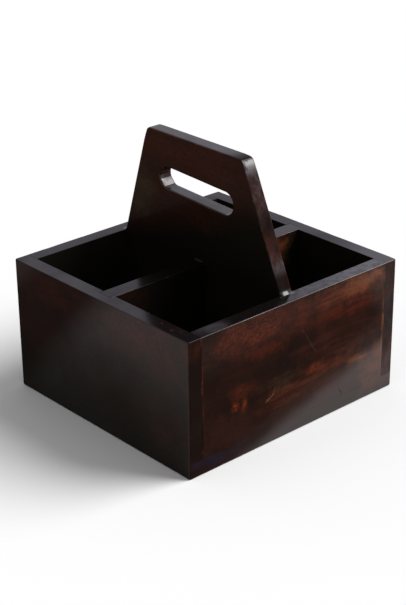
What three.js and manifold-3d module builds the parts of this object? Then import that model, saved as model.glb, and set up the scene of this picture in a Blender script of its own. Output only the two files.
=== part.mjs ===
// A desk caddy for pens and stationery: an open hardwood box with a tapered carrying board.
// The carrying board and a cross divider halve over each other and leave four compartments.
// Millimetres, +Z up, +X along the carrying board. The origin is the centre of the underside.

import * as THREE from 'three';
import { mergeVertices } from 'three/addons/utils/BufferGeometryUtils.js';
import Module from 'manifold-3d';

const wasm = await Module();
wasm.setup();

// Box
const boxLength = 200; // outside, along the carrying board
const boxWidth = 212; // outside, across the carrying board
const wallHeight = 96.5; // from the top of the base board to the rim
const wallThickness = 12.2;
const baseThickness = 12;
const cornerRadius = 1.6; // upright outer corners
const arris = 0.8; // easing of the outer edges
const cornerSteps = 2; // facets in half of a rounded upright corner

// Cross divider
const dividerThickness = 13.5;

// Carrying board
const handleThickness = 12.2;
const handleRise = 93.2; // from the rim to the top edge
const handleTopLength = 105.7;
const handleTopShift = -6; // the top edge is cut off centre
const handleCornerRadius = 4.5;
const handleSteps = 6; // facets in half of each of its round stretches

// Finger slot
const slotLength = 81.8;
const slotHeight = 17.6;
const slotDepth = 37.2; // from the top edge down to the middle of the slot
const slotShift = 2.5; // from the middle of the top edge
const slotTilt = THREE.MathUtils.degToRad(-2.3);

// Joints between the boards
const housingDepth = 4; // grooves in the walls for the ends of the two crossing boards
const housingSideClearance = 0.1;
const housingEndClearance = 0.2;
const halvingDepth = 48; // notch in the divider, from the rim down
const halvingClearance = 0.2;

// Panel pins
const pinLength = 30;
const pinRadius = 0.8;
const pinPointLength = 2;
const pinHeadRadius = 1.4;
const pinHeadLength = 1.2;
const pinSink = 0.3; // heads are punched just below the surface
const pinClearance = 0.2;
const pinSides = 8;
const pinEdgeMargin = 16; // first and last pin from the ends of the wall's height
const cornerPinCount = 3;
const boardPinCount = 2;
const basePinSpacing = 100;

// Worked out from the sizes above
const boxHeight = baseThickness + wallHeight;
const innerHalfLength = boxLength / 2 - wallThickness;
const innerHalfWidth = boxWidth / 2 - wallThickness;
const handleTop = boxHeight + handleRise;
const overcut = 1; // cutting shapes run this far past the faces that they open

const wood = { walls: 0x2c1913, base: 0x26160f, handle: 0x301c17, divider: 0x241510 };
const steel = 0x6f6a66;

// A closed solid from a geometry's triangles, less the ones that its poles leave without area.
function solidFrom(geometry) {
  const plain = geometry.index ? geometry.toNonIndexed() : geometry.clone();
  plain.deleteAttribute('normal');
  plain.deleteAttribute('uv');
  const merged = mergeVertices(plain, 1e-4);
  const corners = merged.index.array;
  const kept = [];
  for (let i = 0; i < corners.length; i += 3) {
    const [a, b, c] = [corners[i], corners[i + 1], corners[i + 2]];
    if (a !== b && b !== c && c !== a) {
      kept.push(a, b, c);
    }
  }
  const vertProperties = new Float32Array(merged.attributes.position.array);
  const triVerts = new Uint32Array(kept);
  return new wasm.Manifold(new wasm.Mesh({ numProp: 3, vertProperties, triVerts }));
}

// A named mesh of a solid, with its colour and how rough and how metallic its surface is.
function meshFrom(name, solid, colour, roughness, metalness) {
  const result = solid.getMesh();
  const geometry = new THREE.BufferGeometry();
  geometry.setAttribute('position', new THREE.BufferAttribute(result.vertProperties, 3));
  geometry.setIndex(new THREE.BufferAttribute(result.triVerts, 1));
  geometry.computeVertexNormals();
  const material = new THREE.MeshStandardMaterial({ color: colour, roughness, metalness });
  const mesh = new THREE.Mesh(geometry, material);
  mesh.name = name;
  return mesh;
}

// A box from the lower to the upper value of each pair. Its corners take those values
// exactly, so boards that share a value meet face to face.
function block(x, y, z) {
  const geometry = new THREE.BoxGeometry(1, 1, 1);
  const corners = geometry.attributes.position;
  for (let i = 0; i < corners.count; i += 1) {
    const isUpper = [corners.getX(i) > 0, corners.getY(i) > 0, corners.getZ(i) > 0];
    corners.setXYZ(i, x[+isUpper[0]], y[+isUpper[1]], z[+isUpper[2]]);
  }
  return solidFrom(geometry);
}

// The pair from one distance to another on one side of the middle, in rising order.
function onSide(sign, near, far) {
  return sign < 0 ? [-far, -near] : [near, far];
}

function aboutMiddle(half) {
  return [-half, half];
}

// An outline of straight edges whose corners may be rounded, given counter-clockwise.
function roundedOutline(corners) {
  const outline = new THREE.Shape();
  corners.forEach((corner, index) => {
    const before = corners[(index + corners.length - 1) % corners.length];
    const after = corners[(index + 1) % corners.length];
    if (!corner.radius) {
      if (index === 0) {
        outline.moveTo(corner.x, corner.y);
      } else {
        outline.lineTo(corner.x, corner.y);
      }
      return;
    }
    const point = new THREE.Vector2(corner.x, corner.y);
    const toBefore = new THREE.Vector2(before.x, before.y).sub(point).normalize();
    const toAfter = new THREE.Vector2(after.x, after.y).sub(point).normalize();
    const halfAngle = toBefore.angleTo(toAfter) / 2;
    const inward = toBefore.clone().add(toAfter).normalize();
    const centre = point.clone().addScaledVector(inward, corner.radius / Math.sin(halfAngle));
    const reach = corner.radius / Math.tan(halfAngle);
    const start = point.clone().addScaledVector(toBefore, reach).sub(centre);
    const end = point.clone().addScaledVector(toAfter, reach).sub(centre);
    outline.absarc(centre.x, centre.y, corner.radius, start.angle(), end.angle(), false);
  });
  return outline;
}

// A plate of an outline with its face edges eased, from 0 to its thickness along +Z.
function easedPlate(outline, thickness, curveSegments) {
  const geometry = new THREE.ExtrudeGeometry(outline, {
    depth: thickness - 2 * arris,
    curveSegments,
    bevelEnabled: true,
    bevelThickness: arris,
    bevelSize: arris,
    bevelOffset: -arris,
    bevelSegments: 2,
  });
  geometry.translate(0, 0, arris);
  return geometry;
}

// The closed outer form of the box, which the walls and the base board are sanded to.
function boxForm() {
  const x = boxLength / 2;
  const y = boxWidth / 2;
  const outline = roundedOutline([
    { x: -x, y: -y, radius: cornerRadius },
    { x, y: -y, radius: cornerRadius },
    { x, y, radius: cornerRadius },
    { x: -x, y, radius: cornerRadius },
  ]);
  return solidFrom(easedPlate(outline, boxHeight, cornerSteps));
}

// A turned form whose axis starts at a point and runs one way. A panel pin and its hole
// start where the pin goes in, on the board's outer face.
function turnedAbout(points, at, direction) {
  const geometry = new THREE.LatheGeometry(points, pinSides);
  const turn = new THREE.Quaternion().setFromUnitVectors(new THREE.Vector3(0, 1, 0), direction);
  geometry.applyQuaternion(turn);
  geometry.translate(at.x, at.y, at.z);
  return solidFrom(geometry);
}

function pinSolid(pin) {
  const seat = pinSink + pinHeadLength;
  const tip = pinSink + pinLength;
  const profile = [
    new THREE.Vector2(0, pinSink),
    new THREE.Vector2(pinHeadRadius, pinSink),
    new THREE.Vector2(pinHeadRadius, seat),
    new THREE.Vector2(pinRadius, seat),
    new THREE.Vector2(pinRadius, tip - pinPointLength),
    new THREE.Vector2(0, tip),
  ];
  return turnedAbout(profile, pin.at, pin.direction);
}

function pinHole(pin) {
  const seat = pinSink + pinHeadLength;
  const bottom = pinSink + pinLength + pinClearance;
  const profile = [
    new THREE.Vector2(0, -overcut),
    new THREE.Vector2(pinHeadRadius + pinClearance, -overcut),
    new THREE.Vector2(pinHeadRadius + pinClearance, seat),
    new THREE.Vector2(pinRadius + pinClearance, seat),
    new THREE.Vector2(pinRadius + pinClearance, bottom),
    new THREE.Vector2(0, bottom),
  ];
  return turnedAbout(profile, pin.at, pin.direction);
}

function pinHeights(count) {
  const first = baseThickness + pinEdgeMargin;
  const last = boxHeight - pinEdgeMargin;
  return Array.from({ length: count }, (_, step) => first + ((last - first) * step) / (count - 1));
}

const sideways = [
  { word: 'left', sign: -1 },
  { word: 'right', sign: 1 },
];
const depthways = [
  { word: 'front', sign: -1 },
  { word: 'back', sign: 1 },
];

function cornerPins() {
  const x = boxLength / 2 - wallThickness / 2;
  return depthways.flatMap((face) =>
    sideways.flatMap((side) =>
      pinHeights(cornerPinCount).map((z, step) => ({
        name: `${face.word}_${side.word}_pin_${step + 1}`,
        boards: [`${face.word}_wall`, `${side.word}_wall`],
        at: new THREE.Vector3(side.sign * x, (face.sign * boxWidth) / 2, z),
        direction: new THREE.Vector3(0, -face.sign, 0),
      })),
    ),
  );
}

function handlePins() {
  return sideways.flatMap((side) =>
    pinHeights(boardPinCount).map((z, step) => ({
      name: `handle_pin_${side.word}_${step + 1}`,
      boards: [`${side.word}_wall`, 'handle_board'],
      at: new THREE.Vector3((side.sign * boxLength) / 2, 0, z),
      direction: new THREE.Vector3(-side.sign, 0, 0),
    })),
  );
}

function dividerPins() {
  return depthways.flatMap((face) =>
    pinHeights(boardPinCount).map((z, step) => ({
      name: `divider_pin_${face.word}_${step + 1}`,
      boards: [`${face.word}_wall`, 'cross_divider'],
      at: new THREE.Vector3(0, (face.sign * boxWidth) / 2, z),
      direction: new THREE.Vector3(0, -face.sign, 0),
    })),
  );
}

function basePins() {
  const apart = basePinSpacing / 2;
  const underFront = boxWidth / 2 - wallThickness / 2;
  const underSide = boxLength / 2 - wallThickness / 2;
  const rows = [
    { word: 'front', board: 'front_wall', places: [[-apart, -underFront], [apart, -underFront]] },
    { word: 'back', board: 'back_wall', places: [[-apart, underFront], [apart, underFront]] },
    { word: 'left', board: 'left_wall', places: [[-underSide, -apart], [-underSide, apart]] },
    { word: 'right', board: 'right_wall', places: [[underSide, -apart], [underSide, apart]] },
    { word: 'handle', board: 'handle_board', places: [[-apart, 0], [apart, 0]] },
    { word: 'divider', board: 'cross_divider', places: [[0, -apart], [0, apart]] },
  ];
  return rows.flatMap((row) =>
    row.places.map(([x, y], step) => ({
      name: `base_pin_${row.word}_${step + 1}`,
      boards: ['base_board', row.board],
      at: new THREE.Vector3(x, y, 0),
      direction: new THREE.Vector3(0, 0, 1),
    })),
  );
}

const pins = [...cornerPins(), ...handlePins(), ...dividerPins(), ...basePins()];

function drilled(board, name) {
  return pins
    .filter((pin) => pin.boards.includes(name))
    .reduce((solid, pin) => solid.subtract(pinHole(pin)), board);
}

// Front and back walls run the full length and cover the ends of the side walls.
function frontOrBackWall(name, sign) {
  const x = aboutMiddle(boxLength / 2 + overcut);
  const y = onSide(sign, innerHalfWidth, boxWidth / 2 + overcut);
  const board = block(x, y, [baseThickness, boxHeight + overcut]).intersect(boxForm());
  const groove = block(
    aboutMiddle(dividerThickness / 2 + housingSideClearance),
    onSide(sign, innerHalfWidth - overcut, innerHalfWidth + housingDepth),
    [baseThickness - overcut, boxHeight + overcut],
  );
  return meshFrom(name, drilled(board.subtract(groove), name), wood.walls, 0.3, 0);
}

// Left and right walls stand between the front and back walls.
function sideWall(name, sign) {
  const x = onSide(sign, innerHalfLength, boxLength / 2 + overcut);
  const y = aboutMiddle(innerHalfWidth);
  const board = block(x, y, [baseThickness, boxHeight + overcut]).intersect(boxForm());
  const groove = block(
    onSide(sign, innerHalfLength - overcut, innerHalfLength + housingDepth),
    aboutMiddle(handleThickness / 2 + housingSideClearance),
    [baseThickness - overcut, boxHeight + overcut],
  );
  return meshFrom(name, drilled(board.subtract(groove), name), wood.walls, 0.3, 0);
}

// The base board lies under all four walls, with its edges flush with them.
function baseBoard() {
  const x = aboutMiddle(boxLength / 2 + overcut);
  const y = aboutMiddle(boxWidth / 2 + overcut);
  const board = block(x, y, [-overcut, baseThickness]).intersect(boxForm());
  return meshFrom('base_board', drilled(board, 'base_board'), wood.base, 0.35, 0);
}

function slotOutline() {
  const radius = slotHeight / 2;
  const reach = slotLength / 2 - radius;
  const middle = new THREE.Vector2(handleTopShift + slotShift, handleTop - slotDepth);
  const along = new THREE.Vector2(Math.cos(slotTilt), Math.sin(slotTilt));
  const right = middle.clone().addScaledVector(along, reach);
  const left = middle.clone().addScaledVector(along, -reach);
  const quarter = Math.PI / 2;
  const slot = new THREE.Path();
  slot.absarc(right.x, right.y, radius, slotTilt - quarter, slotTilt + quarter, false);
  slot.absarc(left.x, left.y, radius, slotTilt + quarter, slotTilt + 3 * quarter, false);
  return slot;
}

// The carrying board: full height between the walls, housed in them below the rim,
// and tapered above it. It is notched from below to sit over the cross divider.
function handleBoard() {
  const half = handleThickness / 2;
  const topLeft = handleTopShift - handleTopLength / 2;
  const topRight = handleTopShift + handleTopLength / 2;
  const buried = boxHeight - halvingDepth / 2;
  const outline = roundedOutline([
    { x: -innerHalfLength, y: buried },
    { x: innerHalfLength, y: buried },
    { x: innerHalfLength, y: boxHeight },
    { x: topRight, y: handleTop, radius: handleCornerRadius },
    { x: topLeft, y: handleTop, radius: handleCornerRadius },
    { x: -innerHalfLength, y: boxHeight },
  ]);
  outline.holes.push(slotOutline());
  const plate = easedPlate(outline, handleThickness, handleSteps);
  plate.rotateX(Math.PI / 2);
  plate.translate(0, half, 0);
  const tongue = innerHalfLength + housingDepth - housingEndClearance;
  const lower = block(aboutMiddle(tongue), aboutMiddle(half), [baseThickness, boxHeight]);
  const notch = block(
    aboutMiddle(dividerThickness / 2 + halvingClearance),
    aboutMiddle(half + overcut),
    [baseThickness - overcut, boxHeight - halvingDepth + halvingClearance],
  );
  const board = solidFrom(plate).add(lower).subtract(notch);
  return meshFrom('handle_board', drilled(board, 'handle_board'), wood.handle, 0.35, 0);
}

// The cross divider: flush with the rim, notched from above for the carrying board.
function crossDivider() {
  const half = dividerThickness / 2;
  const tongue = innerHalfWidth + housingDepth - housingEndClearance;
  const board = block(aboutMiddle(half), aboutMiddle(tongue), [baseThickness, boxHeight]);
  const notch = block(
    aboutMiddle(half + overcut),
    aboutMiddle(handleThickness / 2 + halvingClearance),
    [boxHeight - halvingDepth, boxHeight + overcut],
  );
  const solid = drilled(board.subtract(notch), 'cross_divider');
  return meshFrom('cross_divider', solid, wood.divider, 0.4, 0);
}

const caddy = new THREE.Group();
caddy.add(
  frontOrBackWall('front_wall', -1),
  frontOrBackWall('back_wall', 1),
  sideWall('left_wall', -1),
  sideWall('right_wall', 1),
  baseBoard(),
  handleBoard(),
  crossDivider(),
);
for (const pin of pins) {
  caddy.add(meshFrom(pin.name, pinSolid(pin), steel, 0.45, 1));
}

export default caddy;
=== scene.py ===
import math

import bpy
from mathutils import Matrix, Vector, noise


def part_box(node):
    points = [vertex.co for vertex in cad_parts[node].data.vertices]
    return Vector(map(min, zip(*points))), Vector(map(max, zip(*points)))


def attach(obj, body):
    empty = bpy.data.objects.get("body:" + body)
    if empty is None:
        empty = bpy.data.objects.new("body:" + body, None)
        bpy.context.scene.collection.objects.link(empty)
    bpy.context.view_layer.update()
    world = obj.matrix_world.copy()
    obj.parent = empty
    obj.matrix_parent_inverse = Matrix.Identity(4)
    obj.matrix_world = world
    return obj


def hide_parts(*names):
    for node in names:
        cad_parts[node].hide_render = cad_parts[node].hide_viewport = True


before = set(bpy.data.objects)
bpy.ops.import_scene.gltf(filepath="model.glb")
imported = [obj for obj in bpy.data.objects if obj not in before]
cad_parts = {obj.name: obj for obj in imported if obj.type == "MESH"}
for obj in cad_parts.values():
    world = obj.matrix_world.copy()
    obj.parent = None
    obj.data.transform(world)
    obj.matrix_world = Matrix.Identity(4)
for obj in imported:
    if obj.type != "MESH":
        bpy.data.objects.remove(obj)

# A dark lacquered desk caddy: five boxed boards, a carrying board and a cross divider.
# Everything is in metres. The boards' boxes and the pins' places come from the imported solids.
mm = 0.001
tiny = 1e-6
sharpAngle = math.radians(50)     # edges sharper than this can be bevelled
smoothAngle = math.radians(35)    # edges softer than this are shaded smooth
weldDistance = 0.003 * mm         # points closer than this become one
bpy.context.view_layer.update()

wallBox = {side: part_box(side + "_wall") for side in ("front", "back", "left", "right")}
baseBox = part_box("base_board")
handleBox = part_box("handle_board")
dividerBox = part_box("cross_divider")

halfLength = baseBox[1].x
halfWidth = baseBox[1].y
baseTop = baseBox[1].z
rim = wallBox["front"][1].z
innerHalfLength = wallBox["right"][0].x
innerHalfWidth = wallBox["right"][1].y
handleHalf = handleBox[1].y
handleTop = handleBox[1].z
dividerHalf = dividerBox[1].x


# Modelling helpers
def deselectAll():
    bpy.ops.object.select_all(action="DESELECT")


def makeActive(piece):
    deselectAll()
    piece.select_set(True)
    bpy.context.view_layer.objects.active = piece


def editMode():
    bpy.ops.object.mode_set(mode="EDIT")


def objectMode():
    bpy.ops.object.mode_set(mode="OBJECT")


# Opens a piece's mesh with all of it selected, or none of it
def openMesh(piece, action="SELECT"):
    makeActive(piece)
    editMode()
    bpy.ops.mesh.select_all(action=action)


# Names a new primitive and puts its place and size in its mesh
def settlePrimitive(name):
    primitive = bpy.context.active_object
    primitive.name = name
    bpy.ops.object.transform_apply(location=True, rotation=True, scale=True)
    return primitive


def addBlock(name, low, high):
    deselectAll()
    low, high = Vector(low), Vector(high)
    bpy.ops.mesh.primitive_cube_add(size=1, location=(low + high) / 2, scale=high - low)
    return settlePrimitive(name)


# An upright round bar over the origin
def addBar(name, sides, radius, length, height=0.0):
    deselectAll()
    bpy.ops.mesh.primitive_cylinder_add(
        vertices=sides, radius=radius, depth=length, location=(0, 0, height)
    )
    return settlePrimitive(name)


# Selects the wanted ones of the sharp edges, since a boolean also leaves edges that only split
# a flat face. Like selectFaces, it leaves the piece in edit mode
def selectEdges(piece, wanted):
    openMesh(piece, "DESELECT")
    bpy.ops.mesh.select_mode(type="EDGE")
    bpy.ops.mesh.edges_select_sharp(sharpness=sharpAngle)
    objectMode()
    sharp = [edge.index for edge in piece.data.edges if edge.select]
    editMode()
    bpy.ops.mesh.select_all(action="DESELECT")
    objectMode()
    verts = piece.data.vertices
    for index in sharp:
        edge = piece.data.edges[index]
        edge.select = wanted(verts[edge.vertices[0]].co, verts[edge.vertices[1]].co)
    editMode()


def selectFaces(piece, wanted):
    openMesh(piece, "DESELECT")
    bpy.ops.mesh.select_mode(type="FACE")
    objectMode()
    for face in piece.data.polygons:
        face.select = wanted(face.normal)
    editMode()


def runsAlong(a, b, axis):
    return all(abs(a[i] - b[i]) < tiny for i in range(3) if i != axis)


def bevelEdges(piece, wanted, width, segments):
    selectEdges(piece, wanted)
    bpy.ops.mesh.bevel(offset=width, segments=segments, affect="EDGES", clamp_overlap=False)
    objectMode()


# Flat cuts all across the piece, which leave edges in its faces
def cutAcross(piece, axis, places):
    openMesh(piece)
    for at in places:
        place, facing = [0, 0, 0], [0, 0, 0]
        place[axis], facing[axis] = at, 1
        bpy.ops.mesh.select_all(action="SELECT")
        bpy.ops.mesh.bisect(plane_co=place, plane_no=facing)
    objectMode()


# Even cuts, so that the faces can be sanded a little uneven
def cutGrid(piece, axis, low, high, step):
    count = max(1, round((high - low) / step))
    cutAcross(piece, axis, [low + (high - low) * i / count for i in range(1, count)])


# How much the sanding took off at a place, from nothing to all of its dip
def sandingAt(place, look):
    return 0.5 + 0.5 * noise.noise(place * look["sandingScale"] + Vector(look["sandingShift"]))


# Cuts a notch of this half width and half depth into a board that stands at the origin
def cutNotch(board, halfX, halfY, foot, top):
    applyBoolean(board, addBlock("notch", (-halfX, -halfY, foot), (halfX, halfY, top)))


def applyBoolean(piece, tool, operation="DIFFERENCE"):
    makeActive(piece)
    cut = piece.modifiers.new("cut", "BOOLEAN")
    cut.operation = operation
    cut.solver = "MANIFOLD"
    cut.object = tool
    bpy.ops.object.modifier_apply(modifier=cut.name)
    bpy.data.objects.remove(tool)


def joinPieces(pieces, name):
    makeActive(pieces[0])
    for piece in pieces:
        piece.select_set(True)
    bpy.ops.object.join()
    pieces[0].name = name
    return pieces[0]


def copyPiece(source, name, placing):
    twin = source.copy()
    twin.data = source.data.copy()
    twin.data.transform(placing)
    twin.name = name
    bpy.context.scene.collection.objects.link(twin)
    return twin


# Smooth arrises, with the wide faces kept flat by normals weighted to them
def smoothPiece(piece):
    openMesh(piece)
    bpy.ops.mesh.remove_doubles(threshold=weldDistance)
    objectMode()
    bpy.ops.object.shade_smooth_by_angle(angle=smoothAngle)
    weighting = piece.modifiers.new("flatFaces", "WEIGHTED_NORMAL")
    weighting.keep_sharp = True
    bpy.ops.object.modifier_apply(modifier=weighting.name)


# Panel pins: where each head sits and which way the pin is driven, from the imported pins
pinLook = {
    "shankRadius": 0.8 * mm,
    "headLength": 1.2 * mm,
    "sunk": 0.3 * mm,
    "clearance": 0.2 * mm,
    "sides": 16,
}


def readPins():
    pins = {}
    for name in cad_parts:
        if "_pin_" not in name:
            continue
        low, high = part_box(name)
        size = high - low
        axis = max(range(3), key=lambda i: size[i])
        drivenUp = axis == 2 or abs(low[axis]) > abs(high[axis])
        head = (low + high) / 2
        head[axis] = low[axis] if drivenUp else high[axis]
        way = Vector((0, 0, 0))
        way[axis] = 1 if drivenUp else -1
        radius = size[(axis + 1) % 3] / 2
        pins[name] = {"head": head, "way": way, "length": size[axis], "radius": radius}
    return pins


pins = readPins()


# The head's hole and the shank's hole in one tool, which stands upright at the origin
def makeHoleTool():
    look = pinLook
    pin = next(iter(pins.values()))
    headRadius = pin["radius"] + look["clearance"]
    headDepth = look["headLength"] + 2 * look["sunk"]
    tool = addBar("holeTool", look["sides"], headRadius, headDepth, height=headDepth / 2)
    selectFaces(tool, lambda normal: normal.z > 0.9)
    bpy.ops.mesh.inset(thickness=headRadius - look["shankRadius"] - look["clearance"])
    shank = pin["length"] - look["headLength"] + look["clearance"]
    bpy.ops.mesh.extrude_region_move(TRANSFORM_OT_translate={"value": (0, 0, shank)})
    objectMode()
    return tool


holeTool = makeHoleTool()


def placingOf(pin, setBack):
    turn = Vector((0, 0, 1)).rotation_difference(pin["way"]).to_matrix().to_4x4()
    return Matrix.Translation(pin["head"] - pin["way"] * setBack) @ turn


# All the holes that reach into a board, or come within a millimetre of it, are drilled at once
def drillBoard(piece, box):
    low, high = box
    near = 1 * mm
    tools = []
    for name, pin in pins.items():
        tip = pin["head"] + pin["way"] * pin["length"]
        ends = [sorted((pin["head"][i], tip[i])) for i in range(3)]
        if all(low[i] - near < ends[i][1] and ends[i][0] < high[i] + near for i in range(3)):
            tools.append(copyPiece(holeTool, "hole_" + name, placingOf(pin, 2 * pinLook["sunk"])))
    if tools:
        applyBoolean(piece, joinPieces(tools, "holes"))


# Walls and base board
boxLook = {
    "cornerRound": 1.5 * mm,    # upright corners of the box
    "topArris": 0.8 * mm,       # outer edge of the rim
    "footArris": 1.3 * mm,      # outer edge of the underside
    "innerArris": 0.35 * mm,    # inner edge of the rim
    "jointArris": 0.12 * mm,    # hairline V where two walls meet
    "baseJoint": 0.04 * mm,     # the same at the base board, where it hardly shows
    "gridStep": 5 * mm,
    "sandingDip": 0.06 * mm,    # how far the sanding wanders
    "sandingScale": 22,
    "sandingShift": (0, 0, 0),
    "edgeDip": 0.25 * mm,       # how far the corners are knocked back
    "edgeReach": 1.7 * mm,      # how deep below the box's outside both of them go
    "knockScale": 90,
    "knockShift": (7, 3, 5),
    "housingDepth": 4 * mm,
    "housingSide": 0.1 * mm,
    "overcut": 1 * mm,
}


# The sanding runs over all the boards alike, so neighbours stay flush at their joints
def sandBoard(piece):
    look = boxLook
    for vertex in piece.data.vertices:
        place = vertex.co.copy()
        sides = (halfLength - abs(place.x), halfWidth - abs(place.y), min(place.z, rim - place.z))
        nearest, second = sorted(sides)[:2]
        if nearest > look["edgeReach"]:
            continue
        nearEdge = max(0.0, 1 - second / look["edgeReach"])
        knock = max(0.0, noise.noise(place * look["knockScale"] + Vector(look["knockShift"])))
        inward = look["sandingDip"] * sandingAt(place, look) + look["edgeDip"] * nearEdge * knock
        vertex.co = place - vertex.normal * inward


# An edge of the box's own outline, at the rim or at the foot
def onOutline(level):
    reach = boxLook["cornerRound"] + tiny

    def check(a, b):
        x, y = abs(a.x + b.x) / 2, abs(a.y + b.y) / 2
        isLevel = max(abs(a.z - level), abs(b.z - level)) < tiny
        return isLevel and (x > halfLength - reach or y > halfWidth - reach)

    return check


def onBoxCorner(a, b):
    return runsAlong(a, b, 2) and abs(a.x) > halfLength - tiny and abs(a.y) > halfWidth - tiny


# Where a side wall meets a full-length one, across the rim's outer arris
def onWallJoint(a, b):
    reach = boxLook["topArris"]
    atJoint = all(
        abs(p.x) > halfLength - reach - tiny and abs(abs(p.y) - innerHalfWidth) < tiny for p in (a, b)
    )
    return atJoint and abs(a.x - b.x) + abs(a.y - b.y) < reach


# The inner edges of the rim, but not those of the side walls' hidden ends
def onInnerRim(a, b):
    alongLength = runsAlong(a, b, 0) and abs(a.x - b.x) > innerHalfLength
    atWidth = alongLength and abs(abs(a.y) - innerHalfWidth) < tiny
    atLength = runsAlong(a, b, 1) and abs(abs(a.x) - innerHalfLength) < tiny
    return min(a.z, b.z) > rim - tiny and (atWidth or atLength)


# The rounded edges of the box's boards, and the hairline V of its joints
def easeEdges(board):
    look = boxLook
    bevelEdges(board, onBoxCorner, look["cornerRound"], segments=4)
    bevelEdges(board, onOutline(rim), look["topArris"], segments=3)
    bevelEdges(board, onOutline(0), look["footArris"], segments=3)
    bevelEdges(board, onOutline(baseTop), look["baseJoint"], segments=1)
    bevelEdges(board, onWallJoint, look["jointArris"], segments=1)
    bevelEdges(board, onInnerRim, look["innerArris"], segments=2)


def makeBoxBoard(name, box, groove=None):
    look = boxLook
    low, high = box
    board = addBlock(name, low, high)
    easeEdges(board)
    for axis in range(3):
        if high[axis] - low[axis] > 4 * look["gridStep"]:
            cutGrid(board, axis, low[axis], high[axis], look["gridStep"])
    sandBoard(board)
    if groove:
        applyBoolean(board, addBlock("groove", *groove))
    drillBoard(board, box)
    smoothPiece(board)
    return board


# The groove in a wall for a board's end, which is cut a little past the wall's inner face and top
def grooveOf(axis, sign, innerFace, boardHalf):
    look = boxLook
    over = look["overcut"]
    low, high = Vector((0, 0, baseTop - over)), Vector((0, 0, rim + over))
    ends = (sign * (innerFace - over), sign * (innerFace + look["housingDepth"]))
    low[axis], high[axis] = sorted(ends)
    high[1 - axis] = boardHalf + look["housingSide"]
    low[1 - axis] = -high[1 - axis]
    return low, high


def makeBoxBoards():
    boards = {"base": makeBoxBoard("baseBoard", baseBox)}
    held = ((innerHalfLength, handleHalf), (innerHalfWidth, dividerHalf))
    for word, axis, sign in (("front", 1, -1), ("back", 1, 1), ("left", 0, -1), ("right", 0, 1)):
        groove = grooveOf(axis, sign, *held[axis])
        boards[word] = makeBoxBoard(word + "Wall", wallBox[word], groove)
    return boards


# Beads of lacquer that gathered along a joint: a bar with a flat, swelling and thinning as it goes
beadLook = {
    "sides": 24,
    "step": 0.6 * mm,
    "thickness": 0.9,    # of its radius, on the whole
    "swelling": 0.2,
    "swellingScale": 160,
    "placeScale": 90,    # sets each bead's own swelling apart
    "tip": 0.05,         # what is left at its ends, before the taper's power
    "taper": 0.3,
}


def addBead(middle, run, outward, size):
    look = beadLook
    length = size["beadLength"]
    bead = addBar("bead", look["sides"], size["beadRadius"], length)
    cutGrid(bead, 2, -length / 2, length / 2, look["step"])
    bead.data.transform(run.to_track_quat("Z", "Y").to_matrix().to_4x4())
    for vertex in bead.data.vertices:
        along = vertex.co.dot(run)
        section = vertex.co - run * along
        section -= outward * max(0.0, section.dot(outward) - size["beadFlat"])
        wander = noise.noise(run * along * look["swellingScale"] + middle * look["placeScale"])
        swell = look["thickness"] + look["swelling"] * wander
        swell *= max(look["tip"], 1 - (2 * along / length) ** 2) ** look["taper"]
        vertex.co = section * swell + run * along + middle
    return bead


# Carrying board
handleLook = {
    "topEnds": (-58.85 * mm, 46.85 * mm),    # ends of the top edge, before its corners are rounded
    "cornerRound": 2.6 * mm,
    "arris": 1.3 * mm,
    "gridStep": 6 * mm,
    "sandingDip": 0.07 * mm,
    "sandingScale": 26,
    "sandingShift": (0, 9, 0),
    "slotMiddle": (-3.5 * mm, 164.5 * mm),
    "slotLength": 81.8 * mm,
    "slotHeight": 17.6 * mm,
    "slotTilt": math.radians(-2.3),
    "slotSides": 36,
    "slotFlat": 8.2 * mm,     # how far the slot's round reaches down at its left end
    "endBow": 1.05 * mm,      # how far handling has worn back the slanted ends' tops
    "endBowDown": 13 * mm,    # how far down from the top this goes
    "endBowIn": 8 * mm,       # and how far in from the end
    "halvingSide": 0.2 * mm,
    "halvingDepth": 48 * mm,
    "beadLength": 8.0 * mm,   # the lacquer at each foot, towards the front
    "beadShift": -1.6 * mm,
    "beadRadius": 2.1 * mm,
    "beadFlat": 1.5 * mm,
}

# Each slanted end: a point of its foot, and the way it faces
slants = []
for foot, top in zip((-innerHalfLength, innerHalfLength), handleLook["topEnds"]):
    rise = Vector((top - foot, 0, handleTop - rim)).normalized()
    slants.append((Vector((foot, 0, rim)), Vector((math.copysign(rise.z, foot), 0, abs(rise.x)))))


# What is sawn off above a foot: a block whose inner side leans along the slanted end
def addSlantTool(foot, facing):
    over = boxLook["overcut"]
    outer = math.copysign(handleBox[1].x + over, foot.x)
    near, far = sorted((foot.x, outer))
    low, high = (near, -handleHalf - over, rim), (far, handleHalf + over, handleTop + over)
    tool = addBlock("slantTool", low, high)
    for vertex in tool.data.vertices:
        if vertex.co.z > rim + tiny and abs(vertex.co.x - foot.x) < tiny:
            vertex.co.x -= facing.z / facing.x * (vertex.co.z - rim)
    return tool


# A round bar across the board, pulled out to the slot's length
def addSlotTool():
    look = handleLook
    radius = look["slotHeight"] / 2
    halfStep = math.pi / look["slotSides"]
    tool = addBar("slotTool", look["slotSides"], radius, 6 * handleHalf)
    lying = Matrix.Rotation(math.pi / 2, 4, "X") @ Matrix.Rotation(halfStep, 4, "Z")
    tool.data.transform(lying)
    corner = Vector((-1, 0, -1)).normalized()
    for vertex in tool.data.vertices:
        vertex.co -= corner * max(0.0, vertex.co.dot(corner) - look["slotFlat"])
        vertex.co.z /= math.cos(halfStep)
        vertex.co.x += math.copysign(look["slotLength"] / 2 - radius, vertex.co.x)
    x, z = look["slotMiddle"]
    tilt = Matrix.Rotation(-look["slotTilt"], 4, "Y")
    tool.data.transform(Matrix.Translation((x, 0, z)) @ tilt)
    return tool


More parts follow.
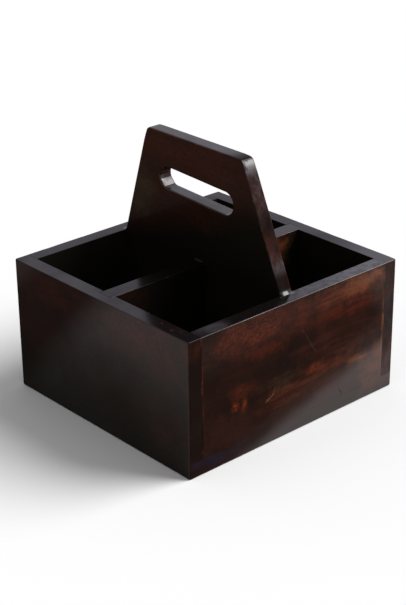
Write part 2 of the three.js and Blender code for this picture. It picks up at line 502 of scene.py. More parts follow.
# Handling wears a board's faces, and most of all the tops of its slanted ends
def wearHandle(board):
    look = handleLook
    for vertex in board.data.vertices:
        moved = vertex.co - vertex.normal * look["sandingDip"] * sandingAt(vertex.co, look)
        for foot, facing in slants:
            fromEnd = min(1.0, (foot - vertex.co).dot(facing) / look["endBowIn"])
            fromTop = min(1.0, (handleTop - vertex.co.z) / look["endBowDown"])
            moved -= facing * look["endBow"] * (1 - fromEnd) * (1 - fromTop) ** 2
        vertex.co = moved


def makeHandleBoard():
    look = handleLook
    over = boxLook["overcut"]
    tongue = handleBox[1].x

    def onTopCorner(a, b):
        return runsAlong(a, b, 1) and a.z > handleTop - tiny

    def onFace(a, b):
        isOnFace = abs(a.y - b.y) < tiny and abs(abs(a.y) - handleHalf) < tiny
        return isOnFace and max(a.z, b.z) > rim + tiny

    board = addBlock("handleBoard", (-tongue, -handleHalf, baseTop), (tongue, handleHalf, handleTop))
    for foot, facing in slants:
        applyBoolean(board, addSlantTool(foot, facing))
    bevelEdges(board, onTopCorner, look["cornerRound"], segments=8)
    cutAcross(board, 2, [rim])
    bevelEdges(board, onFace, look["arris"], segments=4)
    applyBoolean(board, addSlotTool())
    bevelEdges(board, onFace, look["arris"], segments=4)
    cutGrid(board, 0, -innerHalfLength, innerHalfLength, look["gridStep"])
    cutGrid(board, 2, baseTop, handleTop, look["gridStep"])
    wearHandle(board)
    for foot, facing in slants:
        outward = Vector((math.copysign(1, foot.x), 0, 1)).normalized()
        middle = foot + Vector((0, look["beadShift"], 0))
        applyBoolean(board, addBead(middle, Vector((0, 1, 0)), outward, look), "UNION")
    notchTop = rim - look["halvingDepth"] + look["halvingSide"]
    cutNotch(board, dividerHalf + look["halvingSide"], handleHalf + over, baseTop - over, notchTop)
    drillBoard(board, ((-tongue, -handleHalf, baseTop), (tongue, handleHalf, rim)))
    smoothPiece(board)
    return board


# Cross divider
dividerLook = {
    "arris": 0.55 * mm,
    "gridStep": 6 * mm,
    "sandingDip": 0.08 * mm,
    "sandingScale": 30,
    "sandingShift": (4, 0, 0),
    "beadLength": 9.2 * mm,    # the lacquer at each side of the carrying board
    "beadRadius": 1.5 * mm,
    "beadFlat": 1.2 * mm,
}


def makeDividerBoard():
    look = dividerLook
    over = boxLook["overcut"]
    low, high = dividerBox
    board = addBlock("dividerBoard", low, high)
    onTopEdge = lambda a, b: runsAlong(a, b, 1) and a.z > rim - tiny
    bevelEdges(board, onTopEdge, look["arris"], segments=3)
    cutGrid(board, 1, low.y, high.y, look["gridStep"])
    cutGrid(board, 2, low.z, high.z, look["gridStep"])
    for vertex in board.data.vertices:
        vertex.co -= vertex.normal * look["sandingDip"] * sandingAt(vertex.co, look)
    for side in (-1, 1):
        middle, outward = Vector((0, side * handleHalf, rim)), Vector((0, side, 1)).normalized()
        applyBoolean(board, addBead(middle, Vector((1, 0, 0)), outward, look), "UNION")
    halfY = handleHalf + handleLook["halvingSide"]
    foot, top = rim - handleLook["halvingDepth"], rim + look["beadRadius"] + over
    cutNotch(board, dividerHalf + over, halfY, foot, top)
    drillBoard(board, dividerBox)
    smoothPiece(board)
    return board


# Stopping: a dab of filler over each pin head that a wall would show
stoppingLook = {
    "sides": 18,
    "radius": 1.57 * mm,
    "thickness": 0.24 * mm,
    "dip": 0.04 * mm,    # below the wall's face
    "arris": 0.06 * mm,
    "dishInset": 0.6 * mm,
    "dishDepth": 0.03 * mm,
}


def makeStoppingDab():
    look = stoppingLook
    middle = look["dip"] + look["thickness"] / 2
    dab = addBar("stoppingDab", look["sides"], look["radius"], look["thickness"], height=middle)
    onOuterEdge = lambda a, b: abs(a.z - b.z) < tiny and a.z < look["dip"] + tiny
    bevelEdges(dab, onOuterEdge, look["arris"], segments=2)
    selectFaces(dab, lambda normal: normal.z < -0.99)
    bpy.ops.mesh.inset(thickness=look["dishInset"])
    bpy.ops.transform.translate(value=(0, 0, look["dishDepth"]))
    objectMode()
    return dab


def makeStopping(word, way):
    dab = makeStoppingDab()
    covered = [pin for pin in pins.values() if pin["way"].dot(Vector(way)) > 0.5]
    dabs = [copyPiece(dab, "dab", placingOf(pin, pinLook["sunk"])) for pin in covered]
    bpy.data.objects.remove(dab)
    joined = joinPieces(dabs, word + "Stopping")
    smoothPiece(joined)
    return joined


print("modelling the boards")
boards = makeBoxBoards()
boards["handle"] = makeHandleBoard()
boards["divider"] = makeDividerBoard()
bpy.data.objects.remove(holeTool)

print("filling over the pins")
rightward, leftward, frontward, backward, upward = (1, 0, 0), (-1, 0, 0), (0, -1, 0), (0, 1, 0), (0, 0, 1)
drivenInto = {"front": backward, "back": frontward, "left": rightward, "right": leftward}
stopping = {word: makeStopping(word, way) for word, way in drivenInto.items()}


# Shader helpers
def srgb(red, green, blue):
    levels = [c / 255 for c in (red, green, blue)]
    return tuple(c / 12.92 if c <= 0.04045 else ((c + 0.055) / 1.055) ** 2.4 for c in levels) + (1.0,)


class NodeKit:
    # Adds nodes to one tree, with values or links as their inputs
    def __init__(self, tree):
        self.tree = tree

    def add(self, kind, inputs=None, **settings):
        node = self.tree.nodes.new(kind)
        for key, value in settings.items():
            setattr(node, key, value)
        for key, value in (inputs or {}).items():
            self.feed(node.inputs[key], value)
        return node

    def feed(self, socket, value):
        if isinstance(value, bpy.types.NodeSocket):
            self.tree.links.new(value, socket)
        else:
            socket.default_value = value

    def feedAll(self, node, values):
        for socket, value in zip(node.inputs, values):
            self.feed(socket, value)
        return node.outputs

    def math(self, operation, *values, clamp=False):
        node = self.add("ShaderNodeMath", operation=operation, use_clamp=clamp)
        return self.feedAll(node, values)[0]

    def plus(self, first, second):
        return self.math("ADD", first, second)

    def minus(self, first, second, clamp=False):
        return self.math("SUBTRACT", first, second, clamp=clamp)

    def times(self, first, second, clamp=False):
        return self.math("MULTIPLY", first, second, clamp=clamp)

    # The middle one of three values
    def middleOf(self, first, second, third):
        lower, upper = self.math("MINIMUM", first, second), self.math("MAXIMUM", first, second)
        return self.math("MAXIMUM", lower, self.math("MINIMUM", upper, third))

    def vector(self, operation, *values):
        outputs = self.feedAll(self.add("ShaderNodeVectorMath", operation=operation), values)
        return outputs["Value"] if operation in ("LENGTH", "DOT_PRODUCT") else outputs[0]

    # Nothing at the low value, all at the high one, and soft at both ends
    def spread(self, value, low, high):
        ends = {"Value": value, "From Min": low, "From Max": high}
        return self.add("ShaderNodeMapRange", ends, interpolation_type="SMOOTHSTEP").outputs[0]

    def blend(self, factor, first, second):
        return self.add("ShaderNodeMix", {0: factor, 2: first, 3: second}).outputs[0]

    def tint(self, factor, first, second):
        return self.add("ShaderNodeMix", {0: factor, 6: first, 7: second}, data_type="RGBA").outputs[2]

    def noise(self, vector, scale, detail=3.0, roughness=0.5):
        settings = {"Vector": vector, "Scale": scale, "Detail": detail, "Roughness": roughness}
        return self.add("ShaderNodeTexNoise", settings).outputs[0]

    # Noise about zero, over a width in all
    def wander(self, width, *noiseSettings):
        return self.times(self.minus(self.noise(*noiseSettings), 0.5), width)

    def combine(self, *parts):
        return self.feedAll(self.add("ShaderNodeCombineXYZ"), parts)[0]

    def split(self, vector):
        return self.add("ShaderNodeSeparateXYZ", {0: vector}).outputs

    # Places a group and returns what it puts out, or the one mask of a group with no more
    def group(self, name, *values):
        outputs = self.feedAll(self.add("ShaderNodeGroup", node_tree=bpy.data.node_groups[name]), values)
        return outputs if len(outputs) > 1 else outputs[0]


# Makes a node group. Its function gets a socket for each input and returns one for each output
def newGroup(name, wire, vectors, values, outputs):
    group = bpy.data.node_groups.new(name, "ShaderNodeTree")
    for label in vectors + values:
        kind = "NodeSocketVector" if label in vectors else "NodeSocketFloat"
        group.interface.new_socket(label, in_out="INPUT", socket_type=kind)
    for label in outputs:
        group.interface.new_socket(label, in_out="OUTPUT", socket_type="NodeSocketFloat")
    kit = NodeKit(group)
    given = kit.add("NodeGroupInput").outputs
    made = wire(kit, *(given[label] for label in vectors + values))
    kit.feedAll(kit.add("NodeGroupOutput"), made)


print("mixing the finishes")


# How far a point of a board is from the board's nearest arris
def wireBoardArris(kit, place, centre, halfSize):
    offset = kit.vector("ABSOLUTE", kit.vector("SUBTRACT", place, centre))
    return [kit.middleOf(*kit.split(kit.vector("SUBTRACT", halfSize, offset)))]


# The same for the carrying board: its faces, its slanted outline and its slot
def wireHandleArris(kit, place):
    look = handleLook
    axes = kit.split(place)
    toFace = kit.minus(handleHalf, kit.math("ABSOLUTE", axes["Y"]))
    toOutline = kit.minus(handleTop, axes["Z"])
    for foot, facing in slants:
        reach = kit.vector("DOT_PRODUCT", kit.vector("SUBTRACT", foot, place), facing)
        toOutline = kit.math("MINIMUM", toOutline, reach)
    radius = look["slotHeight"] / 2
    middleX, middleZ = look["slotMiddle"]
    along = Vector((math.cos(look["slotTilt"]), 0, math.sin(look["slotTilt"])))
    fromMiddle = kit.vector("SUBTRACT", place, (middleX, 0, middleZ))
    u = kit.math("ABSOLUTE", kit.vector("DOT_PRODUCT", fromMiddle, along))
    v = kit.vector("DOT_PRODUCT", fromMiddle, (-along.z, 0, along.x))
    past = kit.math("MAXIMUM", kit.minus(u, look["slotLength"] / 2 - radius), 0.0)
    toSlot = kit.minus(kit.vector("LENGTH", kit.combine(past, v)), radius)
    return [kit.middleOf(toFace, toOutline, kit.math("ABSOLUTE", toSlot))]


# Each figure of the wood: its scale along and across the grain, its detail and roughness,
# where it starts and where it is full, and whether it follows the sway of the grain
figureLook = {
    "Cloud": ((14, 40, 40), 5.0, 0.6, 0.34, 0.66, True),
    "Streak": ((22, 250, 250), 5.0, 0.65, 0.38, 0.64, True),
    "Line": ((60, 900, 900), 3.0, 0.6, 0.3, 0.72, True),
    "Fleck": ((330, 820, 820), 2.0, 0.55, 0.5, 0.68, False),
    "Speckle": ((300, 480, 480), 4.0, 0.7, 0.42, 0.62, True),
    "Smear": ((190, 190, 95), 3.0, 0.55, 0.42, 0.6, False),
}
swayLook = {"scale": (7, 16, 16), "detail": 2.0, "sideways": 20 * mm, "upward": 30 * mm}


# Wood figure along the vector's X, and blotches that follow no grain
def wireWoodFigure(kit, place, seed):
    moved = kit.vector("ADD", place, seed)
    sway = kit.noise(kit.vector("MULTIPLY", moved, swayLook["scale"]), 1.0, swayLook["detail"])
    bend = [kit.times(sway, swayLook[way]) for way in ("sideways", "upward")]
    bent = kit.vector("ADD", moved, kit.combine(0.0, *bend))
    levels = []
    for scale, detail, roughness, start, full, isSwayed in figureLook.values():
        stretched = kit.vector("MULTIPLY", bent if isSwayed else moved, scale)
        levels.append(kit.spread(kit.noise(stretched, 1.0, detail, roughness), start, full))
    return levels


# Here and below, a noise is given by its scale, detail and roughness, and a range by where the
# mask starts and where it is full
lacquerLook = {
    "rippleNoise": (150.0, 2.0),
    "rippleHeight": 1.1,
    "gritNoise": (1500.0, 2.0, 0.6),
    "gritHeight": 0.04,
    "lineHeight": 0.12,               # of the grain's lines
    "lineDark": 0.25,
    "smudgeNoise": (26.0, 5.0, 0.6),
    "smudgeRange": (0.34, 0.7),
    "bumpDistance": 0.03 * mm,
    "woodRoughness": (0.45, 0.65),    # plain, and where it is smudged
    "turnedRange": (0.45, 0.9),       # how far a face is turned towards a side whose paint it takes
    "coatRoughness": 0.15,
    "coatIor": 1.6,
    "rubbedGloss": 0.3,               # how much gloss is left where the finish is rubbed
    "smudgedGloss": 0.7,              # and where it is smudged
}


# How the lacquer lies: a faint ripple over the grain, fine grit, and smudges that dull it
def wireLacquerFilm(kit, place, line):
    look = lacquerLook
    ripple = kit.times(kit.noise(place, *look["rippleNoise"]), look["rippleHeight"])
    grit = kit.times(kit.noise(place, *look["gritNoise"]), look["gritHeight"])
    height = kit.plus(kit.plus(ripple, grit), kit.times(line, look["lineHeight"]))
    return [height, kit.spread(kit.noise(place, *look["smudgeNoise"]), *look["smudgeRange"])]


wearLook = {
    "reachNoise": (420.0, 3.0, 0.6),
    "reachWander": 1.8,    # how much of its width the wear comes and goes
    "leastReach": 0.1,
    "patchNoise": (60.0, 4.0, 0.6),
    "patchRange": (0.42, 0.6),
}


# Finish rubbed through, close to an arris
def wireRubbedArris(kit, place, distance, width, amount):
    look = wearLook
    fine = kit.noise(place, *look["reachNoise"])
    share = kit.math("MULTIPLY_ADD", fine, look["reachWander"], look["leastReach"])
    reach = kit.times(width, share)
    near = kit.minus(1.0, kit.math("DIVIDE", distance, reach), clamp=True)
    patchy = kit.plus(kit.noise(place, *look["patchNoise"]), kit.minus(amount, 0.5))
    return [kit.times(near, kit.spread(patchy, *look["patchRange"]))]


patchLook = {
    "edgeWander": 2.0,    # of the patch's half size
    "edgeNoise": (75.0, 5.0, 0.62),
    "bodyRange": (1.25, 0.1),
    "figured": 0.85,
    "plain": 0.25,        # what the figure leaves everywhere
}


# An oval patch of another tone, with its edge pulled about and its body broken by the figure
def wireStainPatch(kit, place, centre, halfSize, figure, amount):
    look = patchLook
    offset = kit.vector("DIVIDE", kit.vector("SUBTRACT", place, centre), halfSize)
    pulled = kit.wander(look["edgeWander"], place, *look["edgeNoise"])
    body = kit.spread(kit.plus(kit.vector("LENGTH", offset), pulled), *look["bodyRange"])
    broken = kit.times(body, kit.math("MULTIPLY_ADD", figure, look["figured"], look["plain"]))
    return [kit.times(broken, amount, clamp=True)]


polishLook = {"edgeWander": 8 * mm, "edgeScale": 30.0}


# A polished area that ends along a soft line
def wirePolishedSide(kit, place, through, facing, softness):
    past = kit.vector("DOT_PRODUCT", kit.vector("SUBTRACT", place, through), facing)
    pulled = kit.wander(polishLook["edgeWander"], place, polishLook["edgeScale"])
    return [kit.spread(kit.math("DIVIDE", kit.plus(past, pulled), softness), -1.0, 1.0)]


scratchLook = {"breakScale": 700.0, "breakRange": (0.35, 0.6)}


# A fine scratch between two points, which comes and goes along its length
def wireFineScratch(kit, place, start, end, width):
    span = kit.vector("SUBTRACT", end, start)
    offset = kit.vector("SUBTRACT", place, start)
    along, whole = (kit.vector("DOT_PRODUCT", part, span) for part in (offset, span))
    ratio = kit.math("DIVIDE", along, whole, clamp=True)
    scaled = kit.add("ShaderNodeVectorMath", {0: span, 3: ratio}, operation="SCALE").outputs[0]
    away = kit.vector("LENGTH", kit.vector("SUBTRACT", offset, scaled))
    near = kit.minus(1.0, kit.math("DIVIDE", away, width), clamp=True)
    breaks = kit.spread(kit.noise(place, scratchLook["breakScale"]), *scratchLook["breakRange"])
    return [kit.times(near, breaks)]


insideEdge = 0.6 * mm


# The inner faces of the box and of its compartments, where a dark tone is painted in for the shade that
# falls inside them
def wireInsideShade(kit, place):
    x, y, z = kit.split(kit.vector("ABSOLUTE", place))
    within = kit.math("MINIMUM", kit.minus(innerHalfLength, x), kit.minus(innerHalfWidth, y))
    depth = kit.math("MINIMUM", within, kit.minus(rim, z))
    return [kit.spread(depth, -insideEdge, 0.0)]


# Each group: its function, its vector inputs, its number inputs and what it puts out
groups = {
    "boardArris": (wireBoardArris, ["Vector", "Centre", "Half Size"], [], ["Distance"]),
    "handleArris": (wireHandleArris, ["Vector"], [], ["Distance"]),
    "woodFigure": (wireWoodFigure, ["Vector", "Seed"], [], list(figureLook)),
    "lacquerFilm": (wireLacquerFilm, ["Vector"], ["Line"], ["Height", "Smudge"]),
    "rubbedArris": (wireRubbedArris, ["Vector"], ["Distance", "Width", "Amount"], ["Mask"]),
    "stainPatch": (wireStainPatch, ["Vector", "Centre", "Half Size"], ["Figure", "Amount"], ["Mask"]),
    "polishedSide": (wirePolishedSide, ["Vector", "Through", "Facing"], ["Softness"], ["Mask"]),
    "fineScratch": (wireFineScratch, ["Vector", "Start", "End"], ["Width"], ["Mask"]),
    "insideShade": (wireInsideShade, ["Vector"], [], ["Mask"]),
}
for name, parts in groups.items():
    newGroup(name, *parts)

stain = {
    "ink": srgb(13, 12, 14),
    # deepShade and shade are painted shade, for faces that lie in the box's shadow
    "deepShade": srgb(21, 20, 15),
    "shade": srgb(33, 31, 26),
    "umber": srgb(28, 24, 19),
    "dark": srgb(26, 16, 13),
    "brown": srgb(46, 26, 21),
    "chestnut": srgb(54, 27, 17),
    "russet": srgb(60, 29, 22),
    "cherry": srgb(76, 31, 20),
    "amber": srgb(95, 49, 32),
    "ember": srgb(112, 45, 17),
    "orange": srgb(119, 72, 48),
    "olive": srgb(60, 48, 33),
    "indigo": srgb(29, 29, 42),
    "rubbed": srgb(112, 56, 36),
    "scuffed": srgb(150, 110, 84),
    "haze": srgb(112, 104, 106),
}


# What lies past a point, the way that it faces, with a soft edge
def softSide(kit, place, through, facing, softness):
    return kit.group("polishedSide", place, through, Vector(facing).normalized(), softness)


def addPatches(kit, place, figure, colour, patches):
    for tone, centre, halfSize, amount, brokenBy in patches:
        patch = kit.group("stainPatch", place, centre, halfSize, figure[brokenBy], amount)
        colour = kit.tint(patch, colour, stain[tone])
    return colour


# The colour and the gloss of one face: stain, shading, patches, then where the lacquer shines
def paintFace(kit, place, figure, smudge, paint):
    cloud = kit.times(figure["Cloud"], paint["cloud"])
    colour = kit.tint(cloud, stain[paint["ground"]], stain[paint["tone"]])
    streak = kit.times(figure["Streak"], paint["streak"])
    colour = kit.tint(streak, colour, stain["dark"])
    for tone, through, facing, softness, amount in paint.get("shading", ()):
        shade = kit.times(softSide(kit, place, through, facing, softness), amount)
        colour = kit.tint(shade, colour, stain[tone])
    colour = addPatches(kit, place, figure, colour, paint.get("patches", ()))
    gloss = kit.blend(smudge, paint["gloss"], paint["gloss"] * lacquerLook["smudgedGloss"])
    for through, facing, softness, level in paint.get("polish", ()):
        gloss = kit.blend(softSide(kit, place, through, facing, softness), gloss, level)
    if "smeared" in paint:
        gloss = kit.blend(figure["Smear"], gloss, kit.times(gloss, 1 - paint["smeared"]))
    return colour, gloss


# Where the finish is rubbed: at a box's edges, or at the carrying board's own outline
def wornMask(kit, place, look):
    if "wornBox" in look:
        low, high = look["wornBox"]
        distance = kit.group("boardArris", place, (low + high) / 2, (high - low) / 2)
    else:
        distance = kit.group("handleArris", place)
    return kit.group("rubbedArris", place, distance, look["wornWidth"], look["worn"])


def newMaterial(name):
    material = bpy.data.materials.new(name)
    material.use_nodes = True
    material.node_tree.nodes.clear()
    return material, NodeKit(material.node_tree)


def addShader(kit, inputs):
    shader = kit.add("ShaderNodeBsdfPrincipled", inputs)
    kit.add("ShaderNodeOutputMaterial", {"Surface": shader.outputs[0]})


# Stained and lacquered wood, whose grain runs along one axis of the object
def makeLacqueredWood(name, look):
    material, kit = newMaterial(name)
    coordinates = kit.add("ShaderNodeTexCoord").outputs
    place = coordinates["Object"]
    turn = {"X": (0, 0, 0), "Y": (0, 0, -math.pi / 2)}[look["grain"]]
    grain = kit.add("ShaderNodeMapping", {"Vector": place, "Rotation": turn}).outputs[0]
    figure = kit.group("woodFigure", grain, look["seed"])
    film = kit.group("lacquerFilm", place, figure["Line"])

    colour, gloss = paintFace(kit, place, figure, film["Smudge"], look)
    # Painted shade on the box's inner faces
    if "insideShadeTone" in look:
        inside = kit.group("insideShade", place)
        colour = kit.tint(inside, colour, stain[look["insideShadeTone"]])
    # Painted light: patches of lit tone laid over the painted shade
    colour = addPatches(kit, place, figure, colour, look.get("paintedLight", ()))
    for toward, paint in look["faces"]:
        faceColour, faceGloss = paintFace(kit, place, figure, film["Smudge"], paint)
        turned = kit.vector("DOT_PRODUCT", coordinates["Normal"], toward)
        turned = kit.spread(turned, *lacquerLook["turnedRange"])
        colour = kit.tint(turned, colour, faceColour)
        gloss = kit.blend(turned, gloss, faceGloss)
    line = kit.times(figure["Line"], lacquerLook["lineDark"])
    colour = kit.tint(line, colour, stain["dark"])
    colour = kit.tint(kit.times(figure["Fleck"], look["fleck"]), colour, stain["ink"])

    worn = wornMask(kit, place, look)
    colour = kit.tint(worn, colour, stain["rubbed"])
    gloss = kit.blend(worn, gloss, lacquerLook["rubbedGloss"])
    for tone, start, end, width, strength in look.get("marks", ()):
        mark = kit.times(kit.group("fineScratch", place, start, end, width), strength)
        colour = kit.tint(mark, colour, stain[tone])
        gloss = kit.blend(mark, gloss, lacquerLook["rubbedGloss"] * strength)

    bump = {"Height": film["Height"], "Distance": lacquerLook["bumpDistance"]}
    addShader(kit, {
        "Base Color": colour,
        "Roughness": kit.blend(film["Smudge"], *lacquerLook["woodRoughness"]),
        "Specular IOR Level": 0.0,
        "Coat Weight": gloss,
        "Coat Roughness": lacquerLook["coatRoughness"],
        "Coat IOR": lacquerLook["coatIor"],
        "Normal": kit.add("ShaderNodeBump", bump).outputs[0],
    })
    return material


# The two stains of a face, how much the cloud and the streak show, and its gloss
def paintOf(ground, tone, cloud, streak, gloss, **more):
    return {"ground": ground, "tone": tone, "cloud": cloud, "streak": streak, "gloss": gloss, **more}


# The top of a board, which mirrors the room
def topPaint(gloss, ground="ink", **more):
    return paintOf(ground, "dark", 0.35, 0.2, gloss, **more)


# Patches on a side square to the axis, at its level, in millimetres: each one's tone, middle
# along and up, half size along and up, amount, and the figure that breaks it
def sidePatches(axis, level, rows):
    patches = []
    for tone, along, up, halfAlong, halfUp, amount, brokenBy in rows:
        centre, halfSize = [level, level, up * mm], [1, 1, halfUp * mm]
        centre[1 - axis], halfSize[1 - axis] = along * mm, halfAlong * mm
        patches.append((tone, centre, halfSize, amount, brokenBy))
    return patches


# Wear reaches the edges of this box, which stands past the edges that stay unworn
def wornBoxOf(box, unwornAxis):
    low, high = (corner.copy() for corner in box)
    low[unwornAxis] -= 1.0
    high[unwornAxis] += 1.0
    return low, high


# What all four walls share
def wallLook(side, paint, grain, seed, **more):
    wornBox = wornBoxOf(wallBox[side], 2)
    # Their inner faces take the painted shade tone
    shared = {"insideShadeTone": "shade", "wornBox": wornBox, "wornWidth": 0.7 * mm, "worn": 0.42}
    return {**paint, "grain": grain, "seed": seed, **shared, **more}


# The right-hand side of the box, over the wall and over the edge of the base board
rightPatches = sidePatches(0, halfLength, [
    ("russet", -10, 96, 105, 20, 1.0, "Cloud"),
    ("cherry", -45, 95, 58, 16, 0.8, "Speckle"),
    ("amber", -48, 97, 48, 12, 0.38, "Speckle"),
    ("ember", -58, 94, 34, 8, 0.25, "Fleck"),
    ("dark", -88, 93, 22, 14, 0.45, "Cloud"),
    ("amber", 52, 98, 56, 14, 0.7, "Streak"),
    ("orange", 68, 101.5, 32, 9, 0.8, "Cloud"),
    ("ember", 50, 95, 50, 10, 0.2, "Streak"),
    ("cherry", 48, 84, 56, 8, 0.9, "Streak"),
    ("russet", 50, 66, 56, 14, 0.9, "Streak"),
    ("dark", 10, 80, 40, 6, 0.5, "Streak"),
    ("dark", 82, 71, 18, 7, 0.6, "Cloud"),
    ("dark", -30, 60, 30, 9, 0.8, "Cloud"),
    ("dark", -84, 70, 24, 13, 0.9, "Cloud"),
    ("cherry", -32, 79, 22, 6, 0.6, "Cloud"),
    ("russet", 50, 53, 50, 9, 0.9, "Streak"),
    ("russet", -58, 49, 20, 14, 0.5, "Cloud"),
    ("cherry", -57, 51, 13, 8, 0.4, "Speckle"),
    ("ember", -54, 53.5, 10, 5.5, 0.25, "Speckle"),
    ("ember", -52.5, 42, 4.2, 8, 1.0, "Smear"),
    ("ember", -62.2, 43, 4.6, 6, 0.9, "Speckle"),
    ("chestnut", -10, 34, 70, 16, 0.9, "Streak"),
    ("amber", -2, 36, 38, 8, 0.4, "Streak"),
    ("olive", -12, 47, 22, 7, 0.5, "Streak"),
    ("amber", 20, 46, 24, 5, 0.5, "Streak"),
    ("ember", 18, 46.5, 10, 3.5, 0.6, "Speckle"),
    ("ember", 46, 42, 30, 6, 0.35, "Streak"),
    ("chestnut", 30, 54, 34, 6, 0.8, "Streak"),
    ("orange", 68, 37.5, 16, 4, 1.0, "Streak"),
    ("russet", 60, 28, 45, 14, 0.7, "Streak"),
    ("brown", -68, 24, 34, 18, 1.0, "Cloud"),
    ("ember", -93, 74, 0.8, 26, 0.50, "Fleck"),
    ("ember", -92.5, 46, 0.9, 12, 0.30, "Fleck"),
    ("ink", -93.2, 28, 0.7, 22, 1.0, "Cloud"),
    ("orange", 93, 46, 1.4, 40, 0.6, "Cloud"),
    ("amber", 88, 22, 22, 22, 0.8, "Cloud"),
    ("indigo", -85, 8.5, 30, 5.5, 1.0, "Cloud"),
])
rightPaint = paintOf(
    "dark", "chestnut", 0.5, 0.4, 0.022,
    patches=rightPatches,
    polish=[
        ((halfLength, 0, 0.088), (0, -0.08, 1), 0.013, 0.085),
        ((halfLength, 0.082, 0.088), (0, 1, 0.7), 0.012, 0.26),
        ((halfLength, -0.030, 0.018), (0, 0.35, -0.937), 0.013, 0.16),
        ((halfLength, 0.038, 0.0268), (0, 0.292, -0.9565), 0.0080, 0.76),
    ],
)

# The front, over the wall and over the edge of the base board
frontPatches = sidePatches(1, -halfWidth, [
    ("cherry", -50, 98, 55, 18, 0.25, "Streak"),
    ("russet", 70, 26, 22, 11, 0.35, "Cloud"),
    ("russet", 62, 90, 65, 30, 0.6, "Cloud"),
    ("umber", 30, 80, 50, 16, 0.5, "Speckle"),
    ("brown", 70, 34, 40, 24, 0.7, "Cloud"),
    ("cherry", 68, 25, 16, 7, 0.4, "Cloud"),
    ("amber", 55, 95, 60, 20, 0.25, "Speckle"),
])
frontPaint = paintOf(
    "dark", "brown", 0.5, 0.3, 0.26,
    # Painted shade: the face turns umber towards the bottom
    shading=[("umber", (0, -halfWidth, 0.055), (0.25, 0, -1), 0.026, 0.85)],
    patches=frontPatches,
    polish=[
        ((0.02, -halfWidth, 0.070), (0.2, 0, 1.0), 0.030, 0.32),
        ((-0.044, -halfWidth, 0.0565), (-0.7, 0, 0.7), 0.017, 0.03),
        ((-0.086, -halfWidth, 0.102), (-0.8, 0, 1.0), 0.012, 0.14),
    ],
)

frontWallLook = wallLook(
    "front", frontPaint, "X", (0.3, 0.1, 0.7), fleck=0.05,
    faces=[
        (rightward, paintOf(
            "dark", "umber", 0.6, 0.4, 0.012,
            patches=sidePatches(0, halfLength, [("russet", -98, 102, 20, 10, 0.5, "Smear")]),
            polish=[((halfLength, -0.1, 0.010), (0, 0, -1), 0.012, 0.09)],
        )),
        (upward, topPaint(0.52, polish=[((0.054, -0.1, rim), (1, 0.3, 0), 0.022, 0.2)])),
    ],
    marks=[
        ("rubbed", (halfLength, -halfWidth, 0.010), (halfLength, -halfWidth, 0.104), 0.9 * mm, 0.6),
        ("rubbed", (0.0633, -0.0984, rim), (0.0650, -0.0984, rim), 0.9 * mm, 0.45),
        ("rubbed", (0.0765, -0.1008, rim), (0.0785, -0.1004, rim), 1.1 * mm, 0.6),
        ("rubbed", (0.0830, -0.0980, rim), (0.0846, -0.0984, rim), 0.8 * mm, 0.5),
    ],
)

# The back and the left, over each wall and over the edge of the base board
backPatches = sidePatches(1, halfWidth, [
    ("russet", 20, 82, 70, 20, 0.8, "Cloud"),
    ("amber", 46, 78, 38, 14, 0.6, "Streak"),
    ("cherry", -60, 40, 40, 14, 0.7, "Streak"),
    ("umber", -20, 60, 40, 10, 0.7, "Cloud"),
])
backPaint = paintOf("dark", "russet", 0.6, 0.4, 0.16, patches=backPatches)
leftPatches = sidePatches(0, -halfLength, [
    ("cherry", 58, 90, 40, 14, 0.6, "Speckle"),
    ("amber", -52, 86, 30, 10, 0.5, "Streak"),
    ("russet", -20, 36, 60, 18, 0.8, "Cloud"),
    ("umber", 30, 60, 40, 12, 0.8, "Cloud"),
])
leftPaint = paintOf("dark", "russet", 0.6, 0.4, 0.14, patches=leftPatches)

backWallLook = wallLook(
    "back", backPaint, "X", (1.3, 0.6, 0.2), fleck=0.3,
    faces=[
        (rightward, paintOf(
            "dark", "russet", 0.8, 0.3, 0.26, smeared=0.3,
            polish=[((halfLength, 0.1, 0.034), (0, 0, -1), 0.014, 0.55)],
        )),
        (upward, topPaint(0.52, polish=[((0.060, 0.1, rim), (1, 0, 0), 0.030, 0.78)])),
    ],
)

leftWallLook = wallLook(
    "left", leftPaint, "Y", (2.1, 0.9, 0.4), fleck=0.3, faces=[(upward, topPaint(0.47))]
)

rightWallLook = wallLook(
    "right", rightPaint, "Y", (3.7, 0.2, 0.9), fleck=0.35,
    faces=[(upward, topPaint(0.84, smeared=0.25, polish=[
        ((0.094, -0.062, rim), (0, -1, 0), 0.030, 0.45),
        ((0.094, 0.045, rim), (0, 1, 0), 0.030, 1.0),
    ]))],
    marks=[
        ("haze", (halfLength, 0.005, 0.082), (halfLength, 0.019, 0.060), 0.6 * mm, 0.14),
        ("scuffed", (halfLength, -0.0310, 0.0360), (halfLength, -0.0246, 0.0392), 1.3 * mm, 0.42),
        ("scuffed", (halfLength, -0.0246, 0.0392), (halfLength, -0.0222, 0.0450), 1.0 * mm, 0.14),
        ("dark", (halfLength, 0.0460, 0.0185), (halfLength, 0.0490, 0.0135), 1.4 * mm, 0.9),
    ],
)

baseBoardLook = {
    **paintOf("dark", "umber", 0.7, 0.3, 0.22),
    "grain": "Y", "seed": (3.7, 0.2, 0.9), "fleck": 0.05,
    "wornBox": wornBoxOf(baseBox, 2), "wornWidth": 0.7 * mm, "worn": 0.36,
    "faces": [
        (frontward, frontPaint), (backward, backPaint), (leftward, leftPaint), (rightward, rightPaint),
        # The top, the floor of the compartments, in the painted shade tone
        (upward, topPaint(0.03, ground="shade")),
    ],
}

